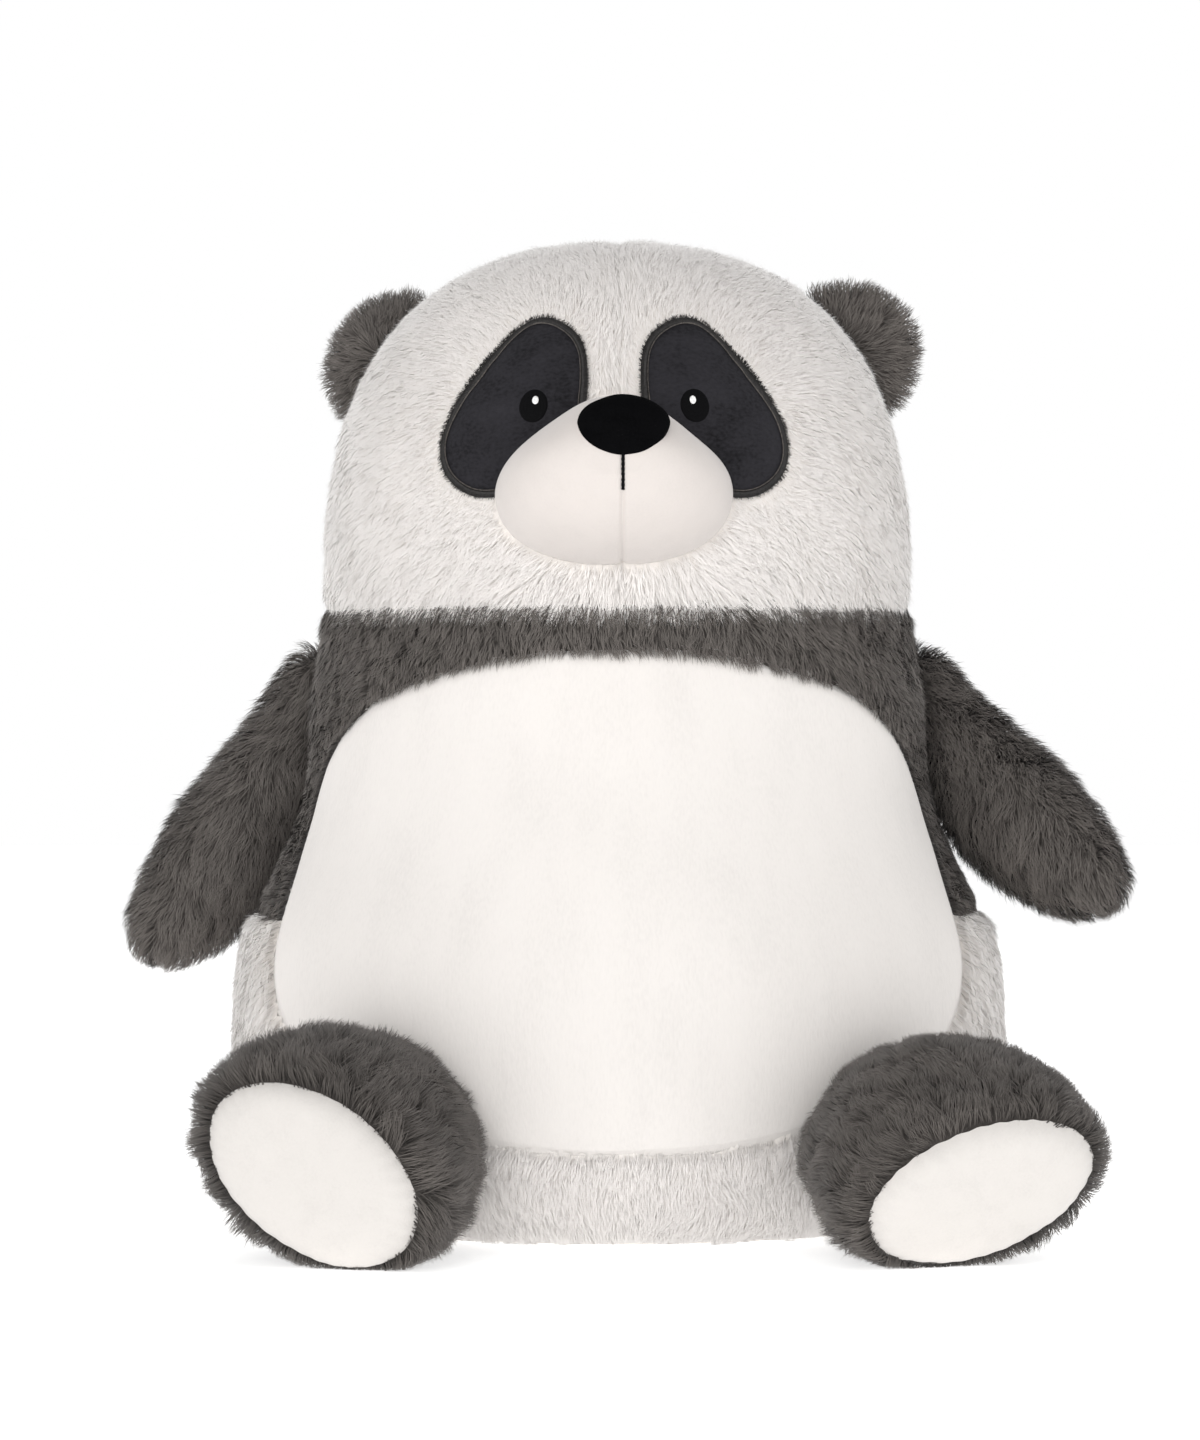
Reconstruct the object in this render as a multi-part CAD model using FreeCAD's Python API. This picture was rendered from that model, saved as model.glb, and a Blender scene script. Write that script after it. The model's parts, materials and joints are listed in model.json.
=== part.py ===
"""Sitting plush panda, about 390 mm tall, as the separate pieces that it is sewn from.

Units are millimetres. +Z is up and the panda looks along -Y, so its own left side is at +X.
The origin is the centre of the flat base that it sits on. Each cover is a fabric shell of
COVER thickness round its own filling, cut along the seams, and the limbs are bodies of
their own that hinge at the seams which join them to the trunk.
"""
import FreeCAD
import Part
import math
import os

from FreeCAD import Vector, Rotation, Placement

# ---------------------------------------------------------------- driving dimensions
COVER = 3.0              # a fur fabric's backing and the packed foot of its pile
THIN_COVER = 2.0         # velour without a long pile
RING_POINTS = 14         # points in each cross-section's closed curve
BIG = 600.0              # larger than the panda, for cutting tools

# The trunk, head and body in one: height, half width, half depth, centre's Y.
TRUNK = [
    (0.0, 104.0, 88.0, -2.0),
    (5.0, 117.0, 99.0, -3.0),
    (15.0, 131.0, 110.0, -5.0),
    (33.0, 143.0, 119.0, -7.0),
    (56.0, 148.5, 123.5, -8.0),
    (82.0, 149.0, 124.0, -8.0),
    (110.0, 146.0, 121.0, -8.0),
    (140.0, 132.5, 114.0, -7.0),
    (175.0, 121.0, 105.5, -5.0),
    (206.0, 117.0, 100.0, -3.0),
    (238.0, 113.0, 96.0, -1.0),
    (268.0, 113.5, 97.0, 0.0),
    (294.0, 111.0, 96.5, 0.0),
    (318.0, 105.0, 93.0, 1.0),
    (340.0, 95.0, 86.0, 2.0),
    (358.0, 81.0, 76.0, 3.0),
    (371.0, 64.0, 61.0, 4.0),
    (380.0, 43.5, 42.5, 5.0),
    (384.5, 24.0, 23.5, 5.0),
    (386.0, 9.0, 9.0, 5.0),
]
NECK_Z = 243.0           # seam between the head and the grey yoke
YOKE_LOW_Z = 123.5       # lower edge of the yoke at the sides and back
BASE_T = 3.0             # thickness of the base panel
SIDE_SEAM_Y = 8.0        # side seams of the head and the yoke
FRONT_STRIP_Y = -40.0    # where the fur strip under the belly meets the side panels
STRIP_TOP_Z = 60.0       # above this the belly panel reaches the side panels
BASE_TUCK = 2.0          # how far the filling spreads into the base seam's corner
SPECK = 0.5              # cubic mm: a cut along a seam can leave chips smaller than this
# Right half of the belly panel's outline seen from the front, bottom to top: X, Z.
BELLY_EDGE = [(0, 36), (42, 39), (82, 48), (116, 66), (133, 92), (133.5, 112), (129, 130),
              (124.5, 147), (119.5, 165), (114, 182), (104, 198), (91, 209), (70, 217.5),
              (38, 224.5), (0, 226.5)]

# Face. FACE_X is the middle of the face and NOSE_X of the nose, a little to its left.
FACE_X = -1.7
NOSE_X = 1.6
PATCH_T = 1.4            # eye patch above the head's cover
BORDER_T = 2.2           # embroidered edge above the head's cover
BORDER_W = 2.6
PATCH_EDGE = [(23, 352.5), (13.2, 345.5), (9.6, 333), (10.5, 314), (22, 293), (42, 283.5),
              (56.5, 284), (64.5, 293), (64.6, 308), (56.5, 326), (43, 341.5), (32.5, 349.8)]
EYE = {"x": 29.7, "z": 317.0, "half_width": 5.2, "half_height": 6.3, "tilt": 16.0}
GLINT = {"x": 28.6, "z": 318.8, "half_width": 1.4, "half_height": 1.9, "tilt": 10.0}
EYE_T = 2.8
GLINT_T = 3.4
# The muzzle's rim seen from the front, right half, top to bottom: X, Z.
MUZZLE_RIM = [(0, 320), (12, 317.5), (23, 311), (33.5, 302.5), (41, 294.5), (44.3, 285.5),
              (42.5, 275.5), (35.5, 266.5), (22.5, 260), (8, 257.3)]
MUZZLE_MID_Z = 288.0     # the height that the rim shrinks towards at the back
MUZZLE_TIP_Z = 298.0     # and at the front
MUZZLE_SEAM_X = 1.2      # the seam between its halves, in line with the nose
MUZZLE_ROOT_Y = -82.0
MUZZLE_TIP_Y = -138.0
MUZZLE_FULLNESS = 2.3    # 2 is an ellipsoid, more is blunter
MUZZLE_RINGS = 8
NOSE = {"y": -129.0, "z": 308.0, "half_width": 16.8, "half_depth": 12.5, "half_height": 11.0}
MOUTH_W = 1.5
MOUTH_T = 0.9            # thread above the muzzle's cover
MOUTH_BACK_Y = -100.0    # well behind the stitch, inside the muzzle
MOUTH_Z = (284.5, 300.0)

# Ears: half discs that stand on the side of the head and follow it.
EAR_R = 26.5
EAR_HALF_T = 6.5
EAR_SINK = 5.0           # how deep the disc's middle is in the head before it is trimmed
EAR_GAP = 1.6            # left between the ear and the head, so that it can bend
EARS = {  # on the head's side: X and Z there, the way the ear points, how far it leans back
    "left": {"at": (91.5, 12.0, 345.0), "up": 38.0, "back": 8.0},
    "right": {"at": (-92.5, 14.0, 343.0), "up": 148.0, "back": 40.0},
}

# Arms: distance from the joint, edges away from and towards the trunk, half thickness.
ARM = [
    (-12.0, 4.5, 4.5, 4.5),
    (-8.5, 9.0, 9.0, 8.5),
    (0.0, 11.8, 12.0, 11.8),
    (22.0, 10.5, 19.0, 14.5),
    (46.0, 12.8, 24.5, 17.0),
    (74.0, 15.0, 28.5, 18.5),
    (98.0, 12.5, 24.5, 16.0),
    (116.0, 8.0, 16.5, 11.5),
    (126.0, 3.0, 6.0, 5.0),
]
ARM_ANGLE = {"left": 42.0, "right": 33.5}    # from straight down, outwards
ARM_FORWARD = {"left": 30.0, "right": 3.0}   # and towards the front
ARM_Z = 212.5            # height of both arm joints
ARM_SKIN_Y = 30.0        # where on the trunk's side the arm is sewn
ARM_STAND_OFF = 13.2     # joint's axis to the trunk's cover

# Legs: distance from the hip, half length and half height of the oval section.
LEG = [
    (-44.0, 13.0, 11.5),
    (-37.0, 25.0, 22.5),
    (-22.0, 35.0, 31.0),
    (-4.0, 40.5, 34.5),
    (18.0, 45.5, 36.5),
    (34.0, 47.5, 34.0),
    (46.0, 46.5, 31.0),
    (54.0, 43.5, 29.0),
]
LEG_GAP = 1.5            # left between the leg and the trunk, so that it can lift
SOLE_T = 3.0
SOLE_BULGE = 3.0
# The sole's crown: share of the bulge, share of the foot's section there.
SOLE_CROWN = [(0.6, 0.85), (1.0, 0.45)]
SOLE_EDGE = 0.985        # the sole's section at its outer edge, drawn in a little
# Own side: hip, the way the foot points (yaw), roll of the oval, how far the foot's end
# sinks below the hip's level and how far the sole leans over.
LEGS = {
    "left": {"hip": (114.0, -131.0, 41.5), "yaw": 18.0, "roll": 22.0, "drop": 13.0, "lean": 30.0},
    "right": {"hip": (-96.0, -130.0, 41.2), "yaw": -16.0, "roll": -33.0, "drop": 6.6, "lean": 8.0},
}

TAIL = {"at": (0.0, 113.5, 54.0), "half_width": 19.0, "half_depth": 13.0, "half_height": 15.0}

CLOSING = {"z_low": 140.0, "z_high": 205.0, "stitches": 12, "length": 5.0, "radius": 0.6,
           "lift": 0.5}


# ---------------------------------------------------------------- helpers
def ring(points):
    """A closed smooth wire through points."""
    curve = Part.BSplineCurve()
    curve.interpolate(Points=points, PeriodicFlag=True)
    return Part.Wire([curve.toShape()])


def oval(centre, along, across, half_along, half_across):
    """An oval wire about centre, its half sizes measured along two unit vectors."""
    points = []
    for i in range(RING_POINTS):
        a = 2 * math.pi * i / RING_POINTS
        points.append(centre + along * (half_along * math.cos(a)) + across * (half_across * math.sin(a)))
    return ring(points)


def loft(wires):
    """A solid through closed wires."""
    solid = Part.makeLoft(wires, True, False)
    if solid.Volume < 0:
        solid.reverse()
    return solid


def box(low, high):
    size = [h - l for l, h in zip(low, high)]
    return Part.makeBox(*size, Vector(*low))


def slab(z_low, z_high):
    return box((-BIG, -BIG, z_low), (BIG, BIG, z_high))


def side_of_x(sign):
    """Everything on one side of the middle plane."""
    return box((0, -BIG, -BIG), (BIG, BIG, BIG)) if sign > 0 else box((-BIG, -BIG, -BIG), (0, BIG, BIG))


def solids_only(shape):
    """The shape's solids without the specks that a cut along a seam can leave."""
    found = [s for s in shape.Solids if s.Volume > SPECK]
    return found[0] if len(found) == 1 else Part.makeCompound(found)


def ellipsoid(centre, rx, ry, rz):
    matrix = FreeCAD.Matrix()
    matrix.scale(rx, ry, rz)
    ball = Part.makeSphere(1.0).transformGeometry(matrix)
    ball.translate(Vector(*centre))
    return ball


def front_prism(outline_xz, y_near=-BIG, y_far=0.0):
    """A closed smooth outline in the XZ plane, run through along Y."""
    wire = ring([Vector(x, y_near, z) for x, z in outline_xz])
    return Part.Face(wire).extrude(Vector(0, y_far - y_near, 0))


# ---------------------------------------------------------------- trunk
def trunk_rows(inset):
    """The trunk's sections moved inwards by inset, square to its outline."""
    rows = []
    for i, (z, width, depth, y) in enumerate(TRUNK):
        low = TRUNK[max(i - 1, 0)]
        high = TRUNK[min(i + 1, len(TRUNK) - 1)]
        dz = high[0] - low[0]
        dw = high[1] - low[1]
        length = math.hypot(dz, dw)
        rows.append((z + inset * dw / length, width - inset * dz / length,
                     depth - inset * dz / length, y))
    if inset > 0:
        rows[0] = (BASE_T, rows[0][1] + BASE_TUCK, rows[0][2] + BASE_TUCK, rows[0][3])
    return [r for r in rows if r[1] > BASE_TUCK]


def trunk_solid(inset=0.0):
    x_axis = Vector(1, 0, 0)
    y_axis = Vector(0, 1, 0)
    return loft([oval(Vector(0, y, z), x_axis, y_axis, width, depth)
                 for z, width, depth, y in trunk_rows(inset)])


def trunk_at(z):
    """Half width, half depth and centre's Y at a height, between the sections."""
    for low, high in zip(TRUNK, TRUNK[1:]):
        if low[0] <= z <= high[0]:
            t = (z - low[0]) / (high[0] - low[0])
            return [a + t * (b - a) for a, b in zip(low[1:], high[1:])]
    raise ValueError(z)


def belly_prism():
    """The belly panel's outline run through the front half of the trunk."""
    right = [(x, z) for x, z in BELLY_EDGE]
    left = [(-x, z) for x, z in reversed(right[1:-1])]
    return front_prism(right + left)


def trunk_pieces(outer, inner):
    """The head, yoke, belly and lower panels cut from one shell, and the fillings."""
    shell = outer.cut(inner)
    belly = belly_prism()
    front = box((-BIG, -BIG, 0), (BIG, SIDE_SEAM_Y, BIG))
    head = shell.common(slab(NECK_Z, BIG))
    yoke = shell.common(slab(YOKE_LOW_Z, NECK_Z)).cut(belly)
    lower = shell.common(slab(BASE_T, YOKE_LOW_Z)).cut(belly)
    strip = box((-BIG, -BIG, BASE_T), (BIG, FRONT_STRIP_Y, STRIP_TOP_Z))
    pieces = {
        "yoke_front": yoke.common(front),
        "belly_panel": shell.common(belly),
        "lower_front": lower.common(strip),
        "base_panel": outer.common(slab(0, BASE_T)),
        "head_filling": inner.common(slab(NECK_Z, BIG)),
        "body_filling": inner.common(slab(BASE_T, NECK_Z)),
    }
    for name, sign in (("left", 1), ("right", -1)):
        half = side_of_x(sign)
        pieces[f"head_front_{name}"] = head.common(front).common(half)
        pieces[f"head_back_{name}"] = head.cut(front).common(half)
        pieces[f"yoke_back_{name}"] = yoke.cut(front).common(half)
        pieces[f"lower_{name}"] = lower.cut(strip).common(half)
    return pieces


# ---------------------------------------------------------------- face
def muzzle_solid(inset):
    """A dome that grows out of the face, from the rim's outline to a blunt tip."""
    wires = []
    half_width = max(x for x, _ in MUZZLE_RIM)
    outline = MUZZLE_RIM + [(-x, z) for x, z in reversed(MUZZLE_RIM[1:])]
    tip_y = MUZZLE_TIP_Y + inset
    for i in range(MUZZLE_RINGS):
        t = math.sin(0.5 * math.pi * i / MUZZLE_RINGS)
        y = MUZZLE_ROOT_Y + t * (tip_y - MUZZLE_ROOT_Y)
        share = (1 - t ** MUZZLE_FULLNESS) ** (1 / MUZZLE_FULLNESS)
        middle_z = MUZZLE_MID_Z + t * t * (MUZZLE_TIP_Z - MUZZLE_MID_Z)
        narrow = share * (1 - inset / half_width)
        wires.append(ring([Vector(FACE_X + x * narrow, y, middle_z + (z - MUZZLE_MID_Z) * narrow)
                           for x, z in outline]))
    return loft(wires)


def tilted_oval(spec, side):
    """Points of a small oval on the face, leaning outwards at the top on its side."""
    tilt = math.radians(spec["tilt"])
    points = []
    for i in range(RING_POINTS):
        a = 2 * math.pi * i / RING_POINTS
        u = spec["half_width"] * math.cos(a)
        v = spec["half_height"] * math.sin(a)
        x = spec["x"] + u * math.cos(tilt) - v * math.sin(tilt)
        z = spec["z"] + u * math.sin(tilt) + v * math.cos(tilt)
        points.append((FACE_X + side * x, z))
    return points


def inward(points, by):
    """A closed outline moved inwards along its normals."""
    moved = []
    count = len(points)
    area = sum(points[i][0] * points[(i + 1) % count][1] - points[(i + 1) % count][0] * points[i][1]
               for i in range(count))
    turn = math.copysign(1.0, area)
    for i, (x, z) in enumerate(points):
        before = points[i - 1]
        after = points[(i + 1) % count]
        dx = after[0] - before[0]
        dz = after[1] - before[1]
        length = math.hypot(dx, dz)
        moved.append((x - turn * by * dz / length, z + turn * by * dx / length))
    return moved


def face_pieces(outer, muzzle):
    """The velour eye patches, their embroidered borders, the eyes and the glints in them."""
    patch_layer = trunk_solid(-PATCH_T).cut(outer).cut(muzzle)
    border_layer = trunk_solid(-BORDER_T).cut(outer).cut(muzzle)
    eye_layer = trunk_solid(-EYE_T).cut(outer).cut(muzzle)
    glint_layer = trunk_solid(-GLINT_T).cut(outer).cut(muzzle)
    pieces = {}
    for name, side in (("left", 1), ("right", -1)):
        edge = [(FACE_X + side * x, z) for x, z in PATCH_EDGE]
        whole = front_prism(edge)
        inside = front_prism(inward(edge, BORDER_W))
        eye = front_prism(tilted_oval(EYE, side))
        glint = front_prism(tilted_oval(GLINT, side))
        pieces[f"eye_patch_border_{name}"] = border_layer.common(whole).cut(inside)
        pieces[f"eye_patch_{name}"] = patch_layer.common(inside).cut(eye)
        pieces[f"eye_{name}"] = eye_layer.common(eye).cut(glint)
        pieces[f"eye_glint_{name}"] = glint_layer.common(glint)
    return pieces


def muzzle_pieces(outer):
    whole = muzzle_solid(0.0).cut(outer)
    filling = muzzle_solid(THIN_COVER).cut(outer)
    cover = whole.cut(filling)
    nose_at = (NOSE_X, NOSE["y"], NOSE["z"])
    sizes = (NOSE["half_width"], NOSE["half_depth"], NOSE["half_height"])
    nose = ellipsoid(nose_at, *sizes).cut(whole)
    nose_filling = ellipsoid(nose_at, *[s - THIN_COVER for s in sizes]).cut(whole)
    line = box((NOSE_X - MOUTH_W / 2, -BIG, MOUTH_Z[0]), (NOSE_X + MOUTH_W / 2, MOUTH_BACK_Y, MOUTH_Z[1]))
    proud = muzzle_solid(-MOUTH_T).cut(whole).cut(nose)
    left = box((MUZZLE_SEAM_X, -BIG, 0), (BIG, BIG, BIG))
    return whole, {
        "muzzle_left": cover.common(left),
        "muzzle_right": cover.cut(left),
        "muzzle_filling": filling,
        "nose_cover": nose.cut(nose_filling),
        "nose_filling": nose_filling,
        "mouth_stitch": proud.common(line),
    }


# ---------------------------------------------------------------- ears
def ear_pieces(side, near_head):
    """A disc, thick at its middle, trimmed by the head and split into its two fur pieces."""
    spec = EARS[side]
    whole = ellipsoid((0, 0, -EAR_SINK), EAR_R, EAR_HALF_T, EAR_R + EAR_SINK)
    place = Placement(Vector(*spec["at"]), Rotation(Vector(0, 1, 0), 90.0 - spec["up"]))
    place = place.multiply(Placement(Vector(), Rotation(Vector(1, 0, 0), -spec["back"])))
    pieces = {}
    for name, low, high in (("front", -BIG, 0), ("back", 0, BIG)):
        half = whole.common(box((-BIG, low, -BIG), (BIG, high, BIG)))
        half.Placement = place.multiply(half.Placement)
        pieces[f"{side}_ear_{name}"] = half.cut(near_head)
    return pieces


# ---------------------------------------------------------------- arms
def shoulder(side):
    """The trunk's cover where the arm is sewn on, and the way out of it, level."""
    sign = 1 if side == "left" else -1
    width, depth, y_mid = trunk_at(ARM_Z)
    y = ARM_SKIN_Y - y_mid
    x = width * math.sqrt(1 - (y / depth) ** 2)
    normal = Vector(sign * x / width ** 2, y / depth ** 2, 0)
    normal.normalize()
    return sign, Vector(sign * x, ARM_SKIN_Y, ARM_Z), normal


def arm_pivot(side):
    _, skin, normal = shoulder(side)
    return skin + normal * ARM_STAND_OFF


def arm_solid(side, inset):
    sign, _, _ = shoulder(side)
    pivot = arm_pivot(side)
    angle = math.radians(ARM_ANGLE[side])
    forward = math.radians(ARM_FORWARD[side])
    inwards = Vector(-sign * math.cos(angle), 0, -math.sin(angle))
    down = Vector(sign * math.sin(angle), 0, -math.cos(angle)) * math.cos(forward)
    down = down + Vector(0, -math.sin(forward), 0)
    across = inwards.cross(down)
    wires = []
    for i, (s, away, near, thick) in enumerate(ARM):
        half = (away + near) / 2 - inset
        middle = pivot + down * (s + (inset if i == 0 else -inset if i == len(ARM) - 1 else 0))
        middle = middle + inwards * ((near - away) / 2)
        wires.append(oval(middle, inwards, across, half, thick - inset))
    return loft(wires)


def arm_pieces(side):
    whole = arm_solid(side, 0.0)
    filling = arm_solid(side, COVER)
    cover = whole.cut(filling)
    front = box((-BIG, -BIG, -BIG), (BIG, 0, BIG))
    front.Placement = Placement(arm_pivot(side), Rotation(Vector(1, 0, 0), -ARM_FORWARD[side]))
    return {
        f"{side}_arm_front": cover.common(front),
        f"{side}_arm_back": cover.cut(front),
        f"{side}_arm_filling": filling,
    }


# ---------------------------------------------------------------- legs
def leg_section(side, distance, length, height):
    """A section of the leg: its middle stays level at the hip and sinks towards the sole."""
    spec = LEGS[side]
    yaw = math.radians(spec["yaw"])
    roll = math.radians(spec["roll"])
    share = max(distance / LEG[-1][0], 0.0) ** 2
    lean = math.radians(spec["lean"]) * share
    up = Vector(0, 0, 1)
    forward = Vector(math.sin(yaw), -math.cos(yaw), 0)
    level = Vector(math.cos(yaw), math.sin(yaw), 0)
    upright = up * math.cos(lean) + forward * math.sin(lean)
    along = level * math.cos(roll) + upright * math.sin(roll)
    across = upright * math.cos(roll) - level * math.sin(roll)
    middle = Vector(*spec["hip"]) + forward * distance - up * (spec["drop"] * share)
    return oval(middle, along, across, length, height)


def leg_solid(side, inset):
    wires = []
    for i, (distance, length, height) in enumerate(LEG):
        start = inset if i == 0 else 0
        wires.append(leg_section(side, distance + start, length - inset, height - inset))
    return loft(wires)


def sole_solid(side):
    """A flat disc with a low crown that closes the foot."""
    spec = LEGS[side]
    _, length, height = LEG[-1]
    yaw = math.radians(spec["yaw"])
    lean = math.radians(spec["lean"])
    normal = Vector(math.sin(yaw) * math.cos(lean), -math.cos(yaw) * math.cos(lean), -math.sin(lean))
    wires = []
    crown = [(SOLE_T + share * SOLE_BULGE, size) for share, size in SOLE_CROWN]
    for out, share in [(0.0, 1.0), (SOLE_T, SOLE_EDGE)] + crown:
        wire = leg_section(side, LEG[-1][0], length * share, height * share)
        wire.translate(normal * out)
        wires.append(wire)
    return loft(wires)


def leg_pieces(side, near_trunk):
    """Inner and outer fur halves, seamed above and below, with the sole and the filling."""
    sign = 1 if side == "left" else -1
    whole = leg_solid(side, 0.0).cut(near_trunk)
    filling = leg_solid(side, COVER).cut(near_trunk)
    cover = whole.cut(filling)
    outer_half = side_of_x(sign)
    outer_half.Placement = Placement(Vector(*LEGS[side]["hip"]), Rotation(Vector(0, 0, 1), LEGS[side]["yaw"]))
    return {
        f"{side}_leg_outer": cover.common(outer_half),
        f"{side}_leg_inner": cover.cut(outer_half),
        f"{side}_leg_filling": filling,
        f"{side}_foot_sole": sole_solid(side),
    }


# ---------------------------------------------------------------- tail and closing seam
def tail_pieces(outer):
    at = TAIL["at"]
    sizes = (TAIL["half_width"], TAIL["half_depth"], TAIL["half_height"])
    whole = ellipsoid(at, *sizes).cut(outer)
    filling = ellipsoid(at, *[s - COVER for s in sizes]).cut(outer)
    return {"tail_cover": whole.cut(filling), "tail_filling": filling}


def closing_stitches():
    """Ladder stitches over the opening that the panda is filled through, on its back."""
    step = (CLOSING["z_high"] - CLOSING["z_low"]) / (CLOSING["stitches"] - 1)
    stitches = []
    for i in range(CLOSING["stitches"]):
        z = CLOSING["z_low"] + i * step
        _, depth, y_mid = trunk_at(z)
        start = Vector(-CLOSING["length"] / 2, y_mid + depth + CLOSING["radius"] + CLOSING["lift"], z)
        stitches.append(Part.makeCylinder(CLOSING["radius"], CLOSING["length"], start, Vector(1, 0, 0)))
    return Part.makeCompound(stitches)


def build():
    outer = trunk_solid()
    inner = trunk_solid(COVER)
    pieces = trunk_pieces(outer, inner)
    muzzle, more = muzzle_pieces(outer)
    pieces.update(more)
    pieces.update(face_pieces(outer, muzzle))
    pieces.update(tail_pieces(outer))
    pieces["closing_stitches"] = closing_stitches()
    near_head = trunk_solid(-EAR_GAP)
    near_trunk = trunk_solid(-LEG_GAP)
    for side in ("left", "right"):
        pieces.update(ear_pieces(side, near_head))
        pieces.update(arm_pieces(side))
        pieces.update(leg_pieces(side, near_trunk))
    return pieces


def main():
    os.makedirs("parts", exist_ok=True)
    for name, shape in sorted(build().items()):
        whole = solids_only(shape)
        whole.exportStep(f"parts/{name}.step")
        print(f"{name:26s} {len(whole.Solids)} solid, {whole.Volume / 1000:9.2f} cm3, valid {whole.isValid()}")


main()
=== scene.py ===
"""Plush panda: fur, velour, embroidery and stitching over its CAD model. Metres, +Z up, face along -Y."""
import json
import math
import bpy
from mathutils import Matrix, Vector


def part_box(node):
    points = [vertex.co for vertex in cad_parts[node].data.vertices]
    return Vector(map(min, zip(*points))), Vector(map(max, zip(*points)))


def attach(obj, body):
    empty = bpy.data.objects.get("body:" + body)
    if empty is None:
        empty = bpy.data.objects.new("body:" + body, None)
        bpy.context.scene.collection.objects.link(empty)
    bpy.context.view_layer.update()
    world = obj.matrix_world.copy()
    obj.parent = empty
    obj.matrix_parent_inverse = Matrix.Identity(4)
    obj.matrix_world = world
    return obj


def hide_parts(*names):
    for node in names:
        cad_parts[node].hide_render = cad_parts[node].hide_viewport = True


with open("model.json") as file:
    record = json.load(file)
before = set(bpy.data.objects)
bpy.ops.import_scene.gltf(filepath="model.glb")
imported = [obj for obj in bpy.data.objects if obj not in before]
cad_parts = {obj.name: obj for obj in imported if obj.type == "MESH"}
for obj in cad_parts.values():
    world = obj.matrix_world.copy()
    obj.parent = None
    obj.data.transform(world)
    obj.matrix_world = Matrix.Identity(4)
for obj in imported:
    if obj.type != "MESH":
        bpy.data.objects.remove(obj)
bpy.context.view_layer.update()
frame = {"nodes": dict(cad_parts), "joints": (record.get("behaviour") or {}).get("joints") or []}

from types import SimpleNamespace

import bmesh
import bpy
import numpy as np
from mathutils import Vector
from mathutils.bvhtree import BVHTree
from mathutils.kdtree import KDTree

MM = 0.001
COVER = 3.0 * MM  # fabric and packed pile over a filling, as in the CAD

SCENE = bpy.context.scene
NODES = frame["nodes"]
FRONT = Vector((0, 1, 0))  # the way a ray goes from in front of the face


# ---------------- mesh helpers
def placed(name, data):
    obj = bpy.data.objects.new(name, data)
    SCENE.collection.objects.link(obj)
    return obj


def new_object(name, verts, faces):
    mesh = bpy.data.meshes.new(name)
    mesh.from_pydata([tuple(v) for v in verts], [], [tuple(f) for f in faces])
    mesh.update()
    mesh.polygons.foreach_set("use_smooth", [True] * len(mesh.polygons))
    return placed(name, mesh)


def points_of(mesh):
    co = np.zeros(len(mesh.vertices) * 3, np.float32)
    mesh.vertices.foreach_get("co", co)
    return co.reshape(-1, 3).astype(float)


def normals_of(mesh):
    no = np.zeros(len(mesh.vertices) * 3, np.float32)
    mesh.vertices.foreach_get("normal", no)
    return no.reshape(-1, 3).astype(float)


def set_points(mesh, co):
    mesh.vertices.foreach_set("co", np.asarray(co, np.float32).ravel())
    mesh.update()


def node_points(*names):
    return np.concatenate([points_of(NODES[n].data) for n in names])


def joined(name, *names):
    """The CAD solids of these nodes as one new mesh."""
    bm = bmesh.new()
    for n in names:
        bm.from_mesh(NODES[n].data)
    mesh = bpy.data.meshes.new(name)
    bm.to_mesh(mesh)
    bm.free()
    return placed(name, mesh)


def apply_modifiers(obj):
    graph = bpy.context.evaluated_depsgraph_get()
    mesh = bpy.data.meshes.new_from_object(obj.evaluated_get(graph))
    obj.modifiers.clear()
    old = obj.data
    obj.data = mesh
    bpy.data.meshes.remove(old)
    mesh.polygons.foreach_set("use_smooth", [True] * len(mesh.polygons))
    return obj


def remeshed(obj, voxel):
    mod = obj.modifiers.new("even", "REMESH")
    mod.mode = "VOXEL"
    mod.voxel_size = voxel
    mod.use_smooth_shade = True
    return apply_modifiers(obj)


def subdivided(obj, levels):
    mod = obj.modifiers.new("fine", "SUBSURF")
    mod.levels = mod.render_levels = levels
    return apply_modifiers(obj)


def smoothed(obj, times):
    mod = obj.modifiers.new("soft", "SMOOTH")
    mod.factor = 0.5
    mod.iterations = times
    return apply_modifiers(obj)


def offset(obj, distance):
    co = points_of(obj.data) + normals_of(obj.data) * distance
    set_points(obj.data, co)
    return obj


CLOTH_FRAMES = 20


def puffed(obj, pins, cap, pressure=4.0):
    """The cover filled by cloth simulation: pressure inside, held at its pins, moved by cap at most."""
    before = points_of(obj.data)
    group = obj.vertex_groups.new(name="seams")
    for i in np.nonzero(pins > 0)[0]:
        group.add([int(i)], float(pins[i]), "REPLACE")
    mod = obj.modifiers.new("cloth", "CLOTH")
    settings = mod.settings
    settings.quality = 5
    settings.mass = 0.3
    settings.tension_stiffness = 15
    settings.compression_stiffness = 10
    settings.shear_stiffness = 5
    settings.bending_stiffness = 0.5
    settings.use_pressure = True
    settings.uniform_pressure_force = pressure
    settings.vertex_group_mass = "seams"
    settings.pin_stiffness = 1.0
    settings.effector_weights.gravity = 0.0
    mod.collision_settings.use_collision = False
    mod.collision_settings.use_self_collision = False
    mod.point_cache.frame_start = 1
    mod.point_cache.frame_end = CLOTH_FRAMES
    for f in range(1, CLOTH_FRAMES + 1):
        SCENE.frame_set(f)
    apply_modifiers(obj)
    SCENE.frame_set(1)
    moved = points_of(obj.data) - before
    length = np.linalg.norm(moved, axis=1, keepdims=True)
    moved *= np.minimum(1.0, cap / np.maximum(length, 1e-9))
    set_points(obj.data, before + moved)
    return obj


def tree_of(obj):
    mesh = obj.data
    return BVHTree.FromPolygons([v.co for v in mesh.vertices], [tuple(p.vertices) for p in mesh.polygons])


def node_tree(*names):
    """A search tree of the CAD solids of these nodes."""
    source = joined("scratch", *names)
    tree = tree_of(source)
    bpy.data.objects.remove(source)
    return tree


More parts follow.
